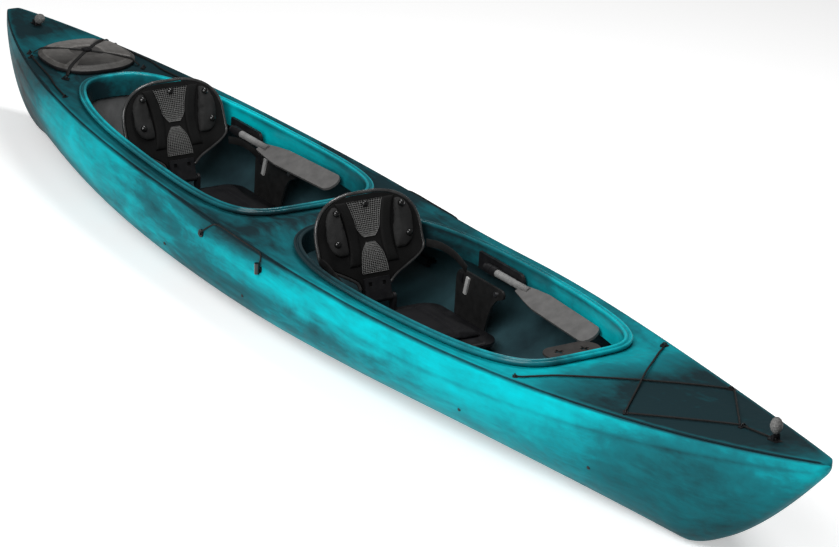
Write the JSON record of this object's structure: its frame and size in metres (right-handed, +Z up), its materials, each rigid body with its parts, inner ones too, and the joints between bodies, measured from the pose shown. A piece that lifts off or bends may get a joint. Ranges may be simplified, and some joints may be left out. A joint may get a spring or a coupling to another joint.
{
  "type": "tandem kayak",
  "caption": "Long decked sit-inside kayak with tandem cockpits, folding seat backs, sliding knee rests and foot braces, a strapped stern hatch, deck bungees and carrying toggles.",
  "frame": {"origin": "under the middle of the boat, on the keel flat", "axes": "+X to the bow, +Y to port, +Z up"},
  "size_m": [4.72, 0.794, 0.4846],
  "materials": {
    "hull_plastic": "rotomoulded polyethylene, marbled teal",
    "deck_plastic": "rotomoulded polyethylene, dark teal marbling",
    "black_plastic": "moulded black plastic",
    "grey_plastic": "moulded grey plastic",
    "foam": "closed-cell grey foam",
    "padding": "charcoal padded fabric",
    "mesh": "open weave over padding",
    "piping": "grey piping",
    "webbing": "black webbing",
    "cord": "black shock cord",
    "seal": "soft hatch seal",
    "steel": "stainless fasteners"
  },
  "bodies": {
    "boat": {"hull": "hull_plastic", "front_coaming": "hull_plastic", "rear_coaming": "hull_plastic", "deck": "deck_plastic", "stern_bulkhead": "foam", "bow_bulkhead": "foam", "hatch_rim": "black_plastic", "hatch_pad_eyes": "black_plastic", "bow_pad_eyes": "black_plastic", "toggle_bases": "black_plastic", "keeper_pad_eyes": "black_plastic", "keeper_knobs": "black_plastic", "front_seat_pan": "black_plastic", "rear_seat_pan": "black_plastic", "front_hip_panels": "black_plastic", "rear_hip_panels": "black_plastic", "knee_brackets": "black_plastic", "foot_rails": "black_plastic", "console_tray": "grey_plastic", "strap_buckles": "grey_plastic", "front_seat_cushion": "padding", "rear_seat_cushion": "padding", "front_back_straps": "webbing", "rear_back_straps": "webbing", "bow_bungee": "cord", "stern_deck_line": "cord", "keeper_cords": "cord", "hatch_gasket": "seal", "front_hinge_pin": "steel", "rear_hinge_pin": "steel", "screws": "steel"},
    "hatch": {"hatch_cover": "grey_plastic", "hatch_straps": "webbing", "hatch_buckle": "black_plastic"},
    "bow_carry_toggle": {"bow_toggle": "grey_plastic", "bow_toggle_eye": "black_plastic"},
    "stern_carry_toggle": {"stern_toggle": "grey_plastic", "stern_toggle_eye": "black_plastic"},
    "front_back": {"front_back_shell": "black_plastic", "front_back_pads": "padding", "front_back_ribs": "black_plastic", "front_back_mesh": "mesh", "front_back_trim": "piping", "front_back_rivets": "black_plastic", "front_back_hinge": "black_plastic"},
    "front_port_knee": {"front_port_knee_rest": "grey_plastic"},
    "front_port_foot": {"front_port_pedal": "grey_plastic"},
    "front_starboard_knee": {"front_starboard_knee_rest": "grey_plastic"},
    "front_starboard_foot": {"front_starboard_pedal": "grey_plastic"},
    "rear_back": {"rear_back_shell": "black_plastic", "rear_back_pads": "padding", "rear_back_ribs": "black_plastic", "rear_back_mesh": "mesh", "rear_back_trim": "piping", "rear_back_rivets": "black_plastic", "rear_back_hinge": "black_plastic"},
    "rear_port_knee": {"rear_port_knee_rest": "grey_plastic"},
    "rear_port_foot": {"rear_port_pedal": "grey_plastic"},
    "rear_starboard_knee": {"rear_starboard_knee_rest": "grey_plastic"},
    "rear_starboard_foot": {"rear_starboard_pedal": "grey_plastic"}
  },
  "joints": [
    {"name": "hatch_lift", "type": "slide", "parent": "boat", "child": "hatch", "axis": [0, 0, 1], "range_m": [0, 0.12]},
    {"name": "bow_toggle_swing", "type": "hinge", "parent": "boat", "child": "bow_carry_toggle", "pos_m": [2.125, 0, 0.43057], "axis": [0, 1, 0], "range_deg": [-50, 50]},
    {"name": "stern_toggle_swing", "type": "hinge", "parent": "boat", "child": "stern_carry_toggle", "pos_m": [-2.165, 0, 0.39128], "axis": [0, 1, 0], "range_deg": [-114, 0]},
    {"name": "front_back_fold", "type": "hinge", "parent": "boat", "child": "front_back", "pos_m": [0.15, 0, 0.13], "axis": [0, 1, 0], "range_deg": [-12, 80], "deforming": ["front_back_straps"]},
    {"name": "rear_back_fold", "type": "hinge", "parent": "boat", "child": "rear_back", "pos_m": [-1.085, 0, 0.13], "axis": [0, 1, 0], "range_deg": [-12, 54], "deforming": ["rear_back_straps"]},
    {"name": "front_port_knee_slide", "type": "slide", "parent": "boat", "child": "front_port_knee", "axis": [1, 0, 0], "range_m": [-0.06, 0.02]},
    {"name": "front_starboard_knee_slide", "type": "slide", "parent": "boat", "child": "front_starboard_knee", "axis": [1, 0, 0], "range_m": [-0.06, 0.02]},
    {"name": "rear_port_knee_slide", "type": "slide", "parent": "boat", "child": "rear_port_knee", "axis": [1, 0, 0], "range_m": [-0.06, 0.02]},
    {"name": "rear_starboard_knee_slide", "type": "slide", "parent": "boat", "child": "rear_starboard_knee", "axis": [1, 0, 0], "range_m": [-0.06, 0.02]},
    {"name": "front_port_pedal_slide", "type": "slide", "parent": "boat", "child": "front_port_foot", "axis": [0.9829, -0.1839, 0], "range_m": [-0.12, 0.25]},
    {"name": "front_starboard_pedal_slide", "type": "slide", "parent": "boat", "child": "front_starboard_foot", "axis": [0.9829, 0.1839, 0], "range_m": [-0.12, 0.25]},
    {"name": "rear_port_pedal_slide", "type": "slide", "parent": "boat", "child": "rear_port_foot", "axis": [0.9997, 0.0233, 0], "range_m": [-0.12, 0.25]},
    {"name": "rear_starboard_pedal_slide", "type": "slide", "parent": "boat", "child": "rear_starboard_foot", "axis": [0.9997, -0.0233, 0], "range_m": [-0.12, 0.25]}
  ]
}
